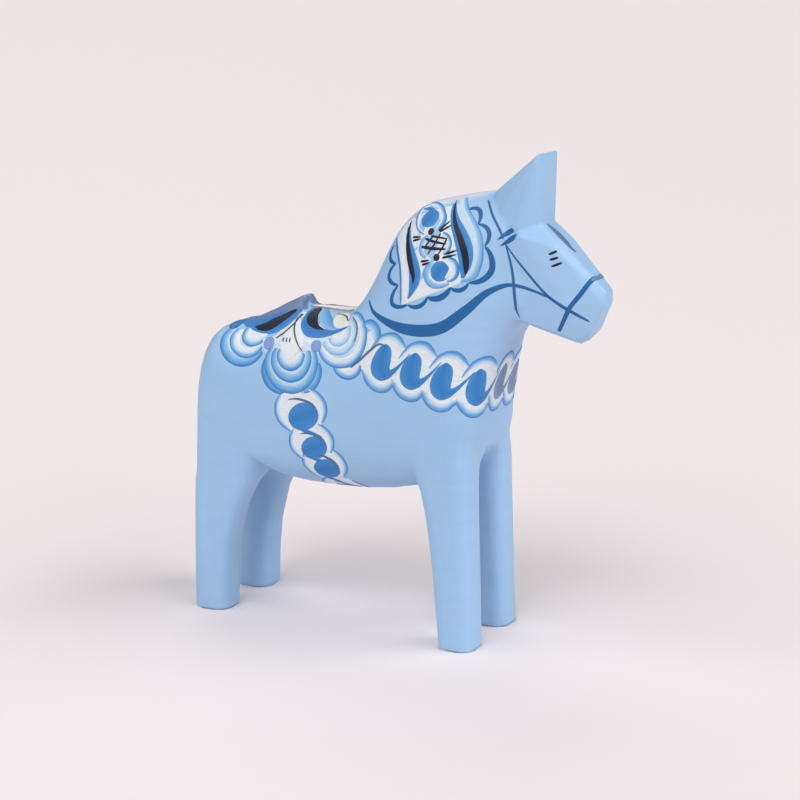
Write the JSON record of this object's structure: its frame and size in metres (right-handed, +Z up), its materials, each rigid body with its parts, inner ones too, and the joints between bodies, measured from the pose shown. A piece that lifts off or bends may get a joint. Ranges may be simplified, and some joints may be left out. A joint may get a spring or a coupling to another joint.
{
  "type": "painted wooden horse",
  "caption": "Carved standing horse of painted wood with a saddle, garlands, harness and mane painted in blue and white.",
  "frame": {"origin": "on the floor, under the middle of the whole horse's box", "axes": "+X towards the nose, +Y towards the horse's left flank, +Z up"},
  "size_m": [0.179, 0.053, 0.1993],
  "materials": {
    "pine": "bare sawn pine, seen only on the soles",
    "light_blue_paint": "satin paint",
    "mid_blue_paint": "satin brushed paint",
    "dark_blue_paint": "satin brushed paint",
    "pale_paint": "satin brushed paint",
    "black_paint": "satin brushed paint"
  },
  "bodies": {
    "root": {"pine_core": "pine", "ground_coat": "light_blue_paint", "saddle_painting": "mid_blue_paint", "breast_garland": "mid_blue_paint", "girth_garland_right": "mid_blue_paint", "girth_garland_left": "mid_blue_paint", "mane_panel_right": "pale_paint", "mane_panel_left": "pale_paint", "mane_scallops_right": "dark_blue_paint", "mane_scallops_left": "dark_blue_paint", "rein_right": "dark_blue_paint", "rein_left": "dark_blue_paint", "bridle_right": "dark_blue_paint", "bridle_left": "dark_blue_paint", "noseband": "dark_blue_paint", "brow_stroke_right": "dark_blue_paint", "brow_stroke_left": "dark_blue_paint", "eye_right": "black_paint", "eye_left": "black_paint"}
  },
  "joints": []
}
